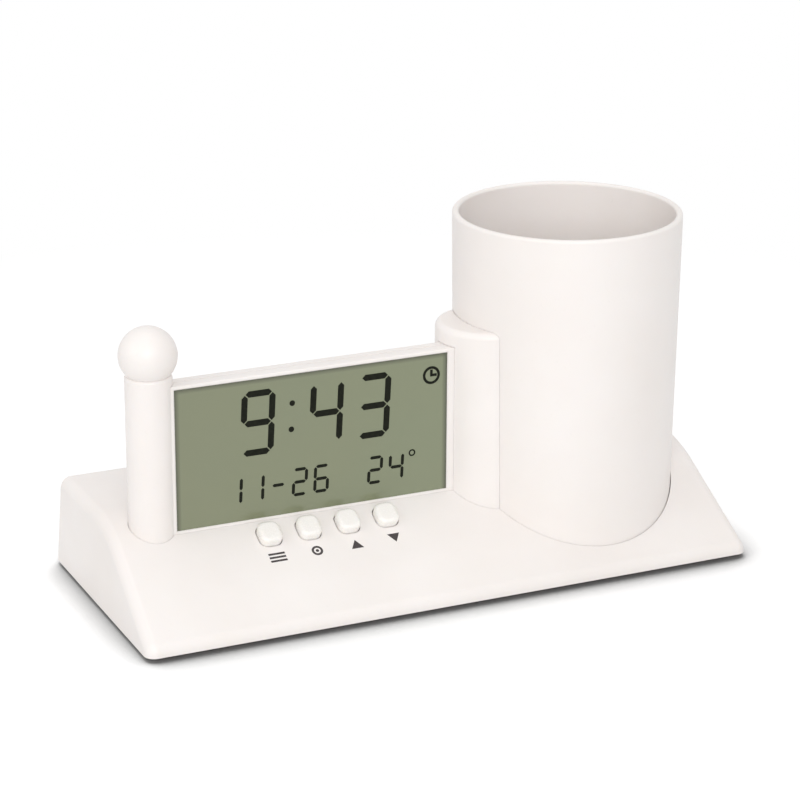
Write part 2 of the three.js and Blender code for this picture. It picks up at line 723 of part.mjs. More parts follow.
// Finishes: colour, roughness, metalness
const finish = (color, roughness, metalness) => (
  new THREE.MeshStandardMaterial({ color, roughness, metalness })
);
const finishes = {
  whitePlastic: finish(0xf3ede6, 0.35, 0),
  glass: finish(0x8e927a, 0.15, 0),
  reflector: finish(0xb9bcb0, 0.4, 0.2),
  board: finish(0x2c6b3f, 0.5, 0),
  blackPlastic: finish(0x1c1c1e, 0.5, 0),
  rubber: finish(0x2a2a2a, 0.85, 0),
  steel: finish(0xb8babd, 0.3, 1),
  brass: finish(0xc9a552, 0.35, 1),
  wrap: finish(0x3c5a86, 0.4, 0.1),
  ribbon: finish(0xd8d6cf, 0.5, 0),
  redWire: finish(0xb02a24, 0.5, 0),
  blackWire: finish(0x1a1a1a, 0.5, 0),
};

const clock = new THREE.Group();

function add(name, solid, material, parent = clock) {
  const mesh = new THREE.Mesh(toGeometry(solid), material);
  mesh.name = name;
  parent.add(mesh);
}

// Base, cover and what stands in them
add('base_shell', baseShell(), finishes.whitePlastic);
add('bottom_cover', bottomCover(), finishes.whitePlastic);
add('pen_cup', penCup(), finishes.whitePlastic);
add('right_column', column(), finishes.whitePlastic);
add('left_post', post(), finishes.whitePlastic);
add('ball_finial', ball(), finishes.whitePlastic);

const footPlaces = [-1, 1].flatMap((side) => [-1, 1].map((end) =>
  [side * (baseLength / 2 - footInsetX), end * (baseDepth / 2 - footInsetY)]));
footPlaces.forEach(([x, y], i) => {
  const foot = turned([
    [0, 0], [footRadius - footChamfer, 0], [footRadius, footChamfer],
    [footRadius, footHeight], [0, footHeight],
  ], x, y, roundSteps.small);
  add(`rubber_foot_${i + 1}`, foot, finishes.rubber);
});

const screwHead = baseZ + screwSink;
const screwTip = coverTop + screwGrip;
const bottomScrew = ([x, y]) => screw(screwHead, screwTip, x, y);
coverScrews.forEach((place, i) => add(`cover_screw_${i + 1}`, bottomScrew(place), finishes.steel));
cupScrews.forEach((place, i) => add(`cup_screw_${i + 1}`, bottomScrew(place), finishes.steel));
add('column_screw', bottomScrew(columnScrew), finishes.steel);
add('post_screw', bottomScrew(postScrew), finishes.steel);

// Display panel
add('panel_frame', panelFrame(), finishes.whitePlastic);
add('panel_rear_cover', rearCover(), finishes.whitePlastic);
add('lcd_cell', box(pieceX, [glassFront, glassBack], [glassLow, sheetHigh]), finishes.glass);
add('lcd_reflector',
  box(pieceX, [glassBack, glassBack + reflectorThickness], [zebraTop + fit, sheetHigh]), finishes.reflector);
add('zebra_strip', box(pieceX, [glassBack, boardFront], [glassLow, zebraTop]), finishes.rubber);
add('display_board', box(pieceX, [boardFront, boardBack], [pocketLow + fit, sheetHigh]), finishes.board);

const panelMiddle = [keyRowX, (pocketLow + pocketHigh) / 2];
const blob = new THREE.CylinderGeometry(blobTopRadius, blobRadius, blobHeight, roundSteps.small);
add('chip_blob', toSolid(blob.translate(panelMiddle[0], boardBack + blobHeight / 2, panelMiddle[1])),
  finishes.blackPlastic);
const crystal = new THREE.CylinderGeometry(crystalRadius, crystalRadius, crystalLength, roundSteps.screw);
crystal.rotateZ(Math.PI / 2);
crystal.translate(panelMiddle[0] + crystalOffset, boardBack + crystalRadius + crystalGap, panelMiddle[1]);
add('crystal', toSolid(crystal), finishes.steel);
add('ribbon_cable', ribbon(), finishes.ribbon);

// Key row
clock.add(keyFrame);
add('key_board', keyBoard(), finishes.board, keyFrame);
keyPlaces.forEach((x, i) => {
  add(`button_cap_${i + 1}`, keyCap(x), finishes.whitePlastic, keyFrame);
  add(`tact_switch_${i + 1}`, tactSwitch(x), finishes.blackPlastic, keyFrame);
  const plunger = upright(plungerRadius, [plungerLow, plungerTop], x, 0);
  add(`switch_plunger_${i + 1}`, plunger, finishes.blackPlastic, keyFrame);
});
boardBosses.forEach(([x, y], i) => {
  const head = keyBoardLow - fit - screwHeadHeight;
  const tip = keyBoardTop + screwGrip - screwSpare;
  add(`board_screw_${i + 1}`, screw(head, tip, x, y), finishes.steel, keyFrame);
});

// Battery bay and buzzer
add('battery_tray', batteryTray(), finishes.whitePlastic);
add('battery_door', batteryDoor(), finishes.whitePlastic);
cellPlaces.forEach((y, i) => add(`battery_cell_${i + 1}`, cell(y, i ? -1 : 1), finishes.wrap));
add('battery_contact_positive', contact(-1, [cellPlaces[0]]), finishes.brass);
add('battery_contact_negative', contact(-1, [cellPlaces[1]]), finishes.brass);
add('battery_contact_link', contact(1, cellPlaces), finishes.brass);
add('battery_lead_positive', lead(cellPlaces[0], 0), finishes.redWire);
add('battery_lead_negative', lead(cellPlaces[1], 1), finishes.blackWire);
const disc = upright(
  buzzerRadius, [coverTop + buzzerSeat, coverTop + buzzerSeat + buzzerThickness],
  buzzerX, buzzerY, roundSteps.medium);
add('buzzer_disc', disc, finishes.brass);

export default clock;
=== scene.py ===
# Desk clock pen holder: smooth shells, keys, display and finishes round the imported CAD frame.
# Shapes are drawn in millimetres in the frame's own axes and brought to metres when they are placed.
import math

import bmesh
import bpy
from mathutils import Matrix, Vector


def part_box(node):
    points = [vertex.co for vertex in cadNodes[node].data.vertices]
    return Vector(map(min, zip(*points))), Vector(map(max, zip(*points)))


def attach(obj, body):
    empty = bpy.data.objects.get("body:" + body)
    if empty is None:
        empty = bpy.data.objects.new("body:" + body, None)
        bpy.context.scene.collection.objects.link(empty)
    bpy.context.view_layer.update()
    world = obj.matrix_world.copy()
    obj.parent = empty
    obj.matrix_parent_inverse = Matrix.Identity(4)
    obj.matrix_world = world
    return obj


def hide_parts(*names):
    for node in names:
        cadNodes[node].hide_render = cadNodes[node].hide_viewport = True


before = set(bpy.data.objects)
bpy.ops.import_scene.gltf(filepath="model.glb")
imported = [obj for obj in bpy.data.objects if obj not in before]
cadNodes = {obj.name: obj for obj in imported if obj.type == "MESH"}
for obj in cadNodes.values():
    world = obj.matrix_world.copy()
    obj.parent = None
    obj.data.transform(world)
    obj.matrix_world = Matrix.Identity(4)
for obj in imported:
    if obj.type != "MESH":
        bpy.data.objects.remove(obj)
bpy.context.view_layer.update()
mm = 0.001
fullTurn = 2 * math.pi
quarter = math.pi / 2
tiny = 1e-3  # millimetres within which two points count as one place
mergeGap = 1e-4
sharpAngle = math.radians(38)  # edges bent more than this stay crisp
print("frame loaded:", len(cadNodes), "nodes")


class Wire:  # a node's output; sums of wires add Math nodes
    def __init__(self, socket):
        self.socket = socket

    def add(self, kind, settings=None, values=None, output=0):
        tree = self.socket.id_data
        node = tree.nodes.new(kind)
        for key, value in (settings or {}).items():
            setattr(node, key, value)
        for key, value in (values or {}).items():
            if isinstance(value, Wire):
                tree.links.new(value.socket, node.inputs[key])
            else:
                node.inputs[key].default_value = value
        return Wire(node.outputs[output])

    def maths(self, operation, *values):
        return self.add("ShaderNodeMath", {"operation": operation}, dict(enumerate(values)))

    def __add__(self, other):
        return self.maths("ADD", self, other)

    def __sub__(self, other):
        return self.maths("SUBTRACT", self, other)

    def __rsub__(self, other):
        return self.maths("SUBTRACT", other, self)

    def __mul__(self, other):
        return self.maths("MULTIPLY", self, other)

    __radd__ = __add__
    __rmul__ = __mul__


def startMaterial(name):
    material = bpy.data.materials.new(name)
    material.use_nodes = True
    tree = material.node_tree
    place = Wire(tree.nodes.new("ShaderNodeTexCoord").outputs["Object"])
    return material, tree.nodes["Principled BSDF"], place


socketNames = {
    "color": "Base Color",
    "rough": "Roughness",
    "metal": "Metallic",
    "coat": "Coat Weight",
    "coatRough": "Coat Roughness",
    "normal": "Normal",
    "gloss": "Specular IOR Level",
    "depthWeight": "Subsurface Weight",
    "depthRadius": "Subsurface Radius",
    "depthScale": "Subsurface Scale",
}


def feed(shader, **values):  # link wires and set plain numbers on the shader's own sockets
    for key, value in values.items():
        socket = shader.inputs[socketNames[key]]
        if isinstance(value, Wire):
            socket.id_data.links.new(value.socket, socket)
        else:
            socket.default_value = value


def noise(place, scale, detail):
    return place.add("ShaderNodeTexNoise", {}, {"Vector": place, "Scale": scale, "Detail": detail}, "Fac")


def between(wire, low, high):  # 0 at low, 1 at high
    values = {"Value": wire, "From Min": low, "From Max": high}
    return wire.add("ShaderNodeMapRange", {"clamp": True}, values, "Result")


def tint(amount, first, second):
    return amount.add("ShaderNodeMix", {"data_type": "RGBA"}, {0: amount, 6: first, 7: second}, 2)


def bump(height, strength, depth):
    values = {"Height": height, "Strength": strength, "Distance": depth}
    return height.add("ShaderNodeBump", {}, values, "Normal")


def axes(place):
    split = place.add("ShaderNodeSeparateXYZ", {}, {"Vector": place}).socket.node
    return [Wire(output) for output in split.outputs]


def rgb(red, green, blue):  # a screen colour, 0 to 255, as the shader's linear one
    parts = [c / 255 for c in (red, green, blue)]
    return [c / 12.92 if c <= 0.04045 else ((c + 0.055) / 1.055) ** 2.4 for c in parts] + [1]


# Finishes
def mouldedPlastic(name, look):
    material, shader, place = startMaterial(name)
    cloud = noise(place, look["cloudScale"], detail=4)
    grain = noise(place, look["grainScale"], detail=2)
    speck = between(noise(place, look["speckScale"], detail=1), look["speckFrom"], look["speckTo"])
    height = axes(place)[2]
    dust = (1 - between(height, look["dustLow"], look["dustHigh"])) * cloud * look["dustAmount"]
    tone = tint(between(cloud, look["cloudFrom"], look["cloudTo"]), look["color"], look["shade"])
    tone = tint(speck * look["speckAmount"], tone, look["speckColor"])
    tone = tint(dust, tone, look["dustColor"])
    rough = look["rough"] + (cloud - 0.5) * look["roughCloud"] + (grain - 0.5) * look["roughGrain"] + dust
    feed(shader, color=tone, rough=rough, normal=bump(grain, look["bumpStrength"], look["bumpDepth"]),
         depthWeight=look["glow"], depthRadius=look["glowRadius"], depthScale=look["glowDepth"],
         coat=look["coat"], coatRough=look["coatRough"])
    return material


whiteLook = {
    "color": rgb(243, 238, 235), "shade": rgb(239, 233, 229),
    "cloudScale": 26, "cloudFrom": 0.3, "cloudTo": 0.7,
    "speckColor": rgb(222, 214, 206), "speckScale": 900, "speckFrom": 0.68, "speckTo": 0.76,
    "speckAmount": 0.08,
    "dustColor": rgb(204, 196, 187), "dustLow": 0.003, "dustHigh": 0.012, "dustAmount": 0.12,
    "rough": 0.42, "roughCloud": 0.10, "roughGrain": 0.12,
    "grainScale": 2600, "bumpStrength": 0.10, "bumpDepth": 0.0001,
    "glow": 0.08, "glowRadius": (1, 0.8, 0.6), "glowDepth": 0.0015, "coat": 0.04, "coatRough": 0.2,
}
keyFinish = {"color": rgb(248, 245, 241), "shade": rgb(244, 240, 235), "rough": 0.27, "dustAmount": 0}
coverFinish = {"rough": 0.46, "bumpStrength": 0.3, "grainScale": 1800}
blackFinish = {"color": rgb(34, 34, 36), "shade": rgb(28, 28, 29), "speckColor": rgb(58, 58, 60),
               "dustColor": rgb(70, 68, 66), "glow": 0}
whitePlastic = mouldedPlastic("whitePlastic", whiteLook)
keyPlastic = mouldedPlastic("keyPlastic", {**whiteLook, **keyFinish})
coverPlastic = mouldedPlastic("coverPlastic", {**whiteLook, **coverFinish})
blackPlastic = mouldedPlastic("blackPlastic", {**whiteLook, **blackFinish})


# Smaller finishes for what sits inside or underneath
mixLook = {"from": 0.3, "to": 0.7, "roughGrain": 0.2, "bumpStrength": 0.25}


def mixedFinish(name, first, second, scale, rough, metal=0.0, depth=0.00005, stretch=(1, 1, 1), gloss=0.5):
    material, shader, place = startMaterial(name)
    drawn = place.add("ShaderNodeMapping", {}, {"Vector": place, "Scale": stretch})
    grain = noise(drawn, scale, detail=4)
    tone = tint(between(grain, mixLook["from"], mixLook["to"]), first, second)
    feed(shader, color=tone, rough=rough + (grain - 0.5) * mixLook["roughGrain"], metal=metal, gloss=gloss,
         normal=bump(grain, mixLook["bumpStrength"], depth))
    return material


footRubber = mixedFinish("footRubber", rgb(40, 40, 41), rgb(56, 55, 54), scale=900, rough=0.78)
brightSteel = mixedFinish("brightSteel", rgb(186, 188, 191), rgb(160, 162, 166), scale=700, rough=0.3,
                          metal=1.0)
contactBrass = mixedFinish("contactBrass", rgb(206, 172, 96), rgb(184, 146, 74), scale=500, rough=0.32,
                           metal=1.0)
reflectorFoil = mixedFinish("reflectorFoil", rgb(186, 189, 176), rgb(172, 175, 160), scale=1400, rough=0.42,
                            metal=0.2)
zebraRubber = mixedFinish("zebraRubber", rgb(46, 46, 46), rgb(196, 188, 176), scale=1500, rough=0.6,
                          depth=0.00003, stretch=(1, 0.02, 0.02))
inkBlack = mixedFinish("inkBlack", rgb(22, 24, 18), rgb(32, 34, 26), scale=800, rough=0.6, gloss=0.08)
printInk = mixedFinish("printInk", rgb(52, 46, 48), rgb(70, 62, 62), scale=1200, rough=0.55)
redWire = mixedFinish("redWire", rgb(176, 40, 34), rgb(150, 30, 27), scale=300, rough=0.4)
blackWire = mixedFinish("blackWire", rgb(26, 26, 27), rgb(40, 40, 41), scale=300, rough=0.4)
ribbonFilm = mixedFinish("ribbonFilm", rgb(224, 221, 210), rgb(150, 148, 142), scale=700, rough=0.45,
                         depth=0.0001, stretch=(1, 0.01, 0.01))


def circuitBoard(look):
    material, shader, place = startMaterial("circuitBoard")
    lattice = place.add("ShaderNodeTexBrick", {"offset": 0.5}, {
        "Vector": place, "Scale": look["trackScale"], "Color1": look["color"], "Color2": look["shade"],
        "Mortar": look["track"], "Mortar Size": look["trackWidth"]}, "Color")
    grain = noise(place, look["grainScale"], detail=3)
    feed(shader, color=tint(grain * look["grainAmount"], lattice, look["shade"]),
         rough=look["rough"] + grain * look["roughGrain"],
         normal=bump(grain, look["bumpStrength"], look["bumpDepth"]))
    return material


boardLook = {
    "color": rgb(44, 104, 62), "shade": rgb(34, 84, 50), "track": rgb(66, 132, 80), "trackScale": 180,
    "trackWidth": 0.012, "grainScale": 1500, "grainAmount": 0.4, "rough": 0.35, "roughGrain": 0.2,
    "bumpStrength": 0.1, "bumpDepth": 0.00005,
}
boardGreen = circuitBoard(boardLook)
print("finishes ready")


# Helpers for shapes
def boxOf(node):  # a CAD node's corners, in millimetres
    low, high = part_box(node)
    return low / mm, high / mm


def planMiddle(low, high):
    return (low.x + high.x) / 2, (low.y + high.y) / 2


def looseObject(name, shape):
    mesh = bpy.data.meshes.new(name)
    shape.to_mesh(mesh)
    shape.free()
    made = bpy.data.objects.new(name, mesh)
    bpy.context.scene.collection.objects.link(made)
    return made


def combine(shape, operation, others):
    body = looseObject("body", shape)
    others = [looseObject("other", other) for other in others]
    for other in others:
        step = body.modifiers.new("step", "BOOLEAN")
        step.operation = operation
        step.solver = "EXACT"
        step.object = other
    bpy.context.view_layer.update()
    mesh = bpy.data.meshes.new_from_object(body.evaluated_get(bpy.context.evaluated_depsgraph_get()))
    result = bmesh.new()
    result.from_mesh(mesh)
    for old in [body, *others]:
        oldMesh = old.data
        bpy.data.objects.remove(old)
        bpy.data.meshes.remove(oldMesh)
    bpy.data.meshes.remove(mesh)
    bmesh.ops.dissolve_degenerate(result, edges=result.edges, dist=mergeGap)
    return result


def carve(shape, *cutters):  # takes every cutter out of the shape
    return combine(shape, "DIFFERENCE", cutters)


def fuse(shape, *others):  # makes one solid of them all
    return combine(shape, "UNION", others)


def placePiece(name, shape, material, body="housing", stands=()):
    bmesh.ops.scale(shape, vec=(mm, mm, mm), verts=shape.verts)
    piece = looseObject(name, shape)
    piece.data.shade_smooth()
    piece.data.set_sharp_from_angle(angle=sharpAngle)
    piece.data.materials.append(material)
    even = piece.modifiers.new("evenNormals", "WEIGHTED_NORMAL")
    even.keep_sharp = True
    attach(piece, body)
    if stands:
        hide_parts(*stands)
    return piece


def lift(shape, face, by):  # extrudes one face into a closed prism
    made = bmesh.ops.extrude_face_region(shape, geom=[face])
    moved = [part for part in made["geom"] if isinstance(part, bmesh.types.BMVert)]
    bmesh.ops.translate(shape, vec=by, verts=moved)
    bmesh.ops.recalc_face_normals(shape, faces=shape.faces)


def prism(points, low, high):  # an outline in X and Y, raised from low to high
    shape = bmesh.new()
    face = shape.faces.new([shape.verts.new((x, y, low)) for x, y in points])
    lift(shape, face, (0, 0, high - low))
    return shape


def block(low, high):
    shape = bmesh.new()
    bmesh.ops.create_cube(shape, size=1)
    size = [b - a for a, b in zip(low, high)]
    bmesh.ops.scale(shape, vec=size, verts=shape.verts)
    bmesh.ops.translate(shape, vec=[(a + b) / 2 for a, b in zip(low, high)], verts=shape.verts)
    return shape


def soften(shape, edges, radius, steps):
    bmesh.ops.bevel(shape, geom=edges, offset=radius, offset_type="OFFSET", affect="EDGES", segments=steps,
                    profile=0.5, material=-1, clamp_overlap=False)


def turned(profile, x, y, steps):  # a profile of radius and height pairs, spun about a vertical axis
    shape = bmesh.new()
    verts = [shape.verts.new((x + radius, y, height)) for radius, height in profile]
    edges = [shape.edges.new(pair) for pair in zip(verts, verts[1:])]
    bmesh.ops.spin(shape, geom=verts + edges, cent=(x, y, 0), axis=(0, 0, 1), angle=fullTurn, steps=steps,
                   use_merge=True)
    bmesh.ops.remove_doubles(shape, verts=shape.verts, dist=mergeGap)
    bmesh.ops.recalc_face_normals(shape, faces=shape.faces)
    return shape


def upright(radius, low, high, x, y, steps=96):
    return turned([(0, low), (radius, low), (radius, high), (0, high)], x, y, steps)


def arc(center, radius, start, end, steps):
    angles = [start + (end - start) * i / steps for i in range(steps + 1)]
    return [(center[0] + radius * math.cos(a), center[1] + radius * math.sin(a)) for a in angles]


def roundedPlate(width, length, radius, low, high, steps=8):
    x, y = width / 2, length / 2
    shape = bmesh.new()
    face = shape.faces.new([shape.verts.new((a, b, low)) for a, b in [(-x, -y), (x, -y), (x, y), (-x, y)]])
    bmesh.ops.bevel(shape, geom=face.verts[:], offset=radius, offset_type="OFFSET", affect="VERTICES",
                    segments=steps, profile=0.5, material=-1)
    lift(shape, shape.faces[:][0], (0, 0, high - low))
    return shape


def sitAt(shape, matrix):
    bmesh.ops.transform(shape, matrix=matrix, verts=shape.verts)
    return shape


def merged(shapes):
    whole = bmesh.new()
    for shape in shapes:
        mesh = bpy.data.meshes.new("part")
        shape.to_mesh(mesh)
        shape.free()
        whole.from_mesh(mesh)
        bpy.data.meshes.remove(mesh)
    return whole


fit = 0.3  # gap round pieces that move or are dropped in
seam = 0.14  # visible gap between the outer shells
over = 1  # how far a cutter runs past a face
under, far = -20, 400  # below and beyond everything that is cut

# Base housing: flat back half, slope down to a thin lip, soft edges
baseLook = {
    "frontLip": 3.3, "kneeY": -1.45, "kneeRadius": 40, "lipRadius": 4, "backRadius": 4, "endRadius": 3.5,
    "sideDraft": 0.074, "wall": 2.2, "kneeSteps": 24, "edgeSteps": 10, "runOn": 12, "cupSlide": 0.08,
}
baseLow, baseHigh = boxOf("base_shell")
doorLow, doorHigh = boxOf("battery_door")
slopeTan = (baseHigh.z - baseLow.z - baseLook["frontLip"]) / (baseLook["kneeY"] - baseLow.y)
slopeAngle = math.atan(slopeTan)


def slopeZ(y):
    return baseLow.z + baseLook["frontLip"] + slopeTan * (y - baseLow.y)


def wedge(inset):
    front, back, top = baseLow.y + inset, baseHigh.y - inset, baseHigh.z - inset
    low, half = baseLow.z - baseLook["runOn"], baseHigh.x - inset
    drop = inset / math.cos(slopeAngle)
    knee = baseLook["kneeY"] + (drop - inset) / slopeTan
    lip = slopeZ(front) - drop
    shape = bmesh.new()
    corners = [(front, low), (back, low), (back, top), (knee, top), (front, lip)]
    lift(shape, shape.faces.new([shape.verts.new((-half, y, z)) for y, z in corners]), (2 * half, 0, 0))
    rounds = [
        (back, top, baseLook["backRadius"], quarter, baseLook["edgeSteps"]),
        (knee, top, baseLook["kneeRadius"], slopeAngle, baseLook["kneeSteps"]),
        (front, lip, baseLook["lipRadius"], quarter - slopeAngle, baseLook["edgeSteps"]),
    ]
    for y, z, radius, turn, steps in rounds:
        spot = Vector((0, y, z))
        edges = [e for e in shape.edges if all((v.co - spot).yz.length < tiny for v in e.verts)]
        soften(shape, edges, (radius - inset) * math.tan(turn / 2), steps)
    ends = [e for e in shape.edges if abs(e.verts[0].co.x - e.verts[1].co.x) < tiny
            and max(v.co.z for v in e.verts) > low + tiny]
    soften(shape, ends, baseLook["endRadius"] - inset, baseLook["edgeSteps"])
    geometry = shape.verts[:] + shape.edges[:] + shape.faces[:]
    cut = bmesh.ops.bisect_plane(shape, geom=geometry, plane_co=(0, 0, baseLow.z - max(inset, 0)),
                                 plane_no=(0, 0, -1), clear_outer=True)
    bmesh.ops.holes_fill(shape, edges=[e for e in cut["geom_cut"] if isinstance(e, bmesh.types.BMEdge)])
    for vert in shape.verts:
        vert.co.x *= 1 - baseLook["sideDraft"] * (vert.co.z - baseLow.z) / baseHigh.x
    bmesh.ops.recalc_face_normals(shape, faces=shape.faces)
    return shape


# Cup: a turned shell that widens a little to its rim
cupLook = {"footRadius": 36.7, "wall": 2.3, "rimRound": 1.0, "floorTop": 13.7, "floor": 2.2,
           "floorRound": 2.5, "roundSteps": 6, "steps": 192}
cupLow, cupHigh = boxOf("pen_cup")
cupMid = (cupLow + cupHigh) / 2
cupRimRadius = cupHigh.x - cupMid.x


def cupRadius(z):
    share = (z - baseLow.z) / (cupHigh.z - baseLow.z)
    return cupLook["footRadius"] + (cupRimRadius - cupLook["footRadius"]) * share


def cupHole(spread, slide=0.0):  # slide leaves more room on the right
    wall = [(cupRadius(z) + spread, z) for z in (under, far)]
    profile = [(0, under), *wall, (0, far)]
    return turned(profile, cupMid.x + slide, cupMid.y, cupLook["steps"])


def cupCircles(shape, z):  # edges of the circles at one height
    def radius(vert):
        return (vert.co - cupMid).xy.length
    level = [e for e in shape.edges if all(abs(v.co.z - z) < tiny for v in e.verts)]
    return [e for e in level if abs(radius(e.verts[0]) - radius(e.verts[1])) < 10 * tiny]


def cupShape():
    floorTop, wall = cupLook["floorTop"], cupLook["wall"]
    floorLow = floorTop - cupLook["floor"]
    inner = [(cupRadius(z) - wall, z) for z in (floorTop, cupHigh.z)]
    outer = [(cupRadius(z), z) for z in (cupHigh.z, cupLow.z)]
    foot = [(cupRadius(z) - wall, z) for z in (cupLow.z, floorLow)]
    profile = [(0, floorTop), *inner, *outer, *foot, (0, floorLow)]
    shape = turned(profile, cupMid.x, cupMid.y, cupLook["steps"])
    soften(shape, cupCircles(shape, cupHigh.z), cupLook["rimRound"], cupLook["roundSteps"])
    soften(shape, cupCircles(shape, floorTop), cupLook["floorRound"], cupLook["roundSteps"])
    return shape


# Column: a round pillar that runs into the cup, with a soft top edge
columnLook = {"axisX": 29.1, "axisY": -2, "radius": 16.9, "topRound": 2.2, "steps": 144, "topSteps": 10}
columnLow, columnHigh = boxOf("right_column")


def columnHole(spread):
    radius = columnLook["radius"] + spread
    return upright(radius, under, far, columnLook["axisX"], columnLook["axisY"], columnLook["steps"])


def columnShape():
    radius, rounding = columnLook["radius"], columnLook["topRound"]
    corner = (radius - rounding, columnHigh.z - rounding)
    edge = arc(corner, rounding, 0, quarter, columnLook["topSteps"])
    profile = [(0, columnLow.z), (radius, columnLow.z), *edge, (0, columnHigh.z)]
    shape = turned(profile, columnLook["axisX"], columnLook["axisY"], columnLook["steps"])
    return carve(shape, cupHole(seam), panelSlot())


# Display panel: frame in front, cover behind, both held between post and column
panelLook = {"rim": 0.5, "rimSteps": 4, "left": 2.5, "right": 5.1, "top": 1.3, "lip": 0.7, "sillLap": 0.4,
             "splay": 0.35, "rearWall": 1.6, "rearRound": 1.2}
frameLow, frameHigh = boxOf("panel_frame")
rearLow, rearHigh = boxOf("panel_rear_cover")
glassLow, glassHigh = boxOf("lcd_cell")
boardLow, boardHigh = boxOf("display_board")


def panelSlot():
    low = (frameLow.x - seam, frameLow.y - seam, frameLow.z - seam)
    high = (frameHigh.x + seam, rearHigh.y + seam, frameHigh.z + seam)
    return block(low, high)


def frameShape():
    shape = block(frameLow, frameHigh)
    soften(shape, shape.edges[:], panelLook["rim"], panelLook["rimSteps"])
    front, splay = frameLow.y, panelLook["splay"]
    left, right = frameLow.x + panelLook["left"], frameHigh.x - panelLook["right"]
    low, high = glassLow.z + panelLook["sillLap"], frameHigh.z - panelLook["top"]
    window = block((left, front - over, low), (right, front + panelLook["lip"] + over, high))
    flare = block((left, front - over, low), (right, front + splay, high))
    for vert in flare.verts:  # splayed inner edge of the rim
        if vert.co.y < front:
            vert.co.x += math.copysign(over + splay, vert.co.x - (frameLow.x + frameHigh.x) / 2)
            vert.co.z += math.copysign(over + splay, vert.co.z - (frameLow.z + frameHigh.z) / 2)
    pocket = block((glassLow.x - fit, glassLow.y, glassLow.z - fit),
                   (glassHigh.x + fit, frameHigh.y + over, glassHigh.z + fit))
    return carve(shape, window, flare, pocket)


def rearShape():
    shape = block((rearLow.x, rearLow.y, baseLow.z), rearHigh)
    behind = [e for e in shape.edges if all(v.co.y > rearHigh.y - tiny for v in e.verts)]
    soften(shape, behind, panelLook["rearRound"], panelLook["rimSteps"])
    cavity = block((boardLow.x - fit, rearLow.y - over, boardLow.z - fit),
                   (boardHigh.x + fit, rearHigh.y - panelLook["rearWall"], boardHigh.z + fit))
    return carve(shape, wedge(-seam), cavity)


# Post and ball
postLook = {"neckRadius": 6.9, "topRound": 0.9, "topSteps": 6, "ballSteps": 48, "steps": 128}
postLow, postHigh = boxOf("left_post")
postMid = (postLow + postHigh) / 2
postRadius = (postHigh.y - postLow.y) / 2
ballLow, ballHigh = boxOf("ball_finial")
ballRadius = (ballHigh.y - ballLow.y) / 2


def postShape():
    rounding, top = postLook["topRound"], postHigh.z + fit  # the ball rests on the post
    edge = arc((postRadius - rounding, top - rounding), rounding, 0, quarter, postLook["topSteps"])
    profile = [(0, postLow.z), (postRadius, postLow.z), *edge, (0, top)]
    shape = turned(profile, postMid.x, postMid.y, postLook["steps"])
    return carve(shape, panelSlot())


def ballShape():
    centerZ = ballHigh.z - ballRadius
    start = -math.acos(postLook["neckRadius"] / ballRadius)
    profile = arc((0, centerZ), ballRadius, start, quarter, postLook["ballSteps"])
    return turned([(0, profile[0][1]), *profile], postMid.x, postMid.y, postLook["steps"])


# Keys: domed caps in the slope; their own frame has Z out of the surface
keyLook = {"width": 7.4, "length": 8.2, "round": 2.6, "rise": 3.0, "crown": 1.2, "rowY": -15.05, "sink": 3.2,
           "flange": 0.9, "flangeTop": -2.2, "holeReach": 6, "steps": 8}
keyNames = [f"button_cap_{i}" for i in range(1, 5)]
keyXs = [sum(corner.x for corner in boxOf(name)) / 2 for name in keyNames]


def onSlope(x, y):  # the frame that lies on the slope at a place in plan
    return Matrix.Translation((x, y, slopeZ(y))) @ Matrix.Rotation(slopeAngle, 4, "X")


def keyPlate(spread, low, high):  # the key's outline in plan, spread all round
    width, length = keyLook["width"] + 2 * spread, keyLook["length"] + 2 * spread
    return roundedPlate(width, length, keyLook["round"] + spread, low, high, keyLook["steps"])


def keyShape(x):  # a flange under the slope, and the cap drawn up from it
    shape = keyPlate(keyLook["flange"], -keyLook["sink"], keyLook["flangeTop"])
    upper = max(shape.faces, key=lambda face: face.calc_center_median().z)
    bmesh.ops.inset_region(shape, faces=[upper], thickness=keyLook["flange"], use_even_offset=True)
    lift(shape, upper, (0, 0, keyLook["rise"] - keyLook["flangeTop"]))
    bmesh.ops.delete(shape, geom=[upper], context="FACES_ONLY")  # left inside by the lift
    top = [e for e in shape.edges if all(v.co.z > keyLook["rise"] - tiny for v in e.verts)]
    soften(shape, top, keyLook["crown"], keyLook["steps"])
    return sitAt(shape, onSlope(x, keyLook["rowY"]))


def keyHole(x):
    hole = keyPlate(fit, -keyLook["holeReach"], keyLook["holeReach"])
    return sitAt(hole, onSlope(x, keyLook["rowY"]))


def baseShape():
    seat = block((postMid.x, frameLow.y - seam, frameLow.z - seam),
                 (columnLook["axisX"], frameHigh.y + seam, far))
    notch = block((doorLow.x - fit, baseHigh.y - 2 * baseLook["wall"], -far),
                  (doorHigh.x + fit, far, doorHigh.z + fit))
    slide = baseLook["cupSlide"]
    return carve(wedge(0), wedge(baseLook["wall"]), cupHole(seam + slide, slide), columnHole(seam),
                 upright(postRadius + seam, under, far, postMid.x, postMid.y), seat, notch,
                 *[keyHole(x) for x in keyXs])


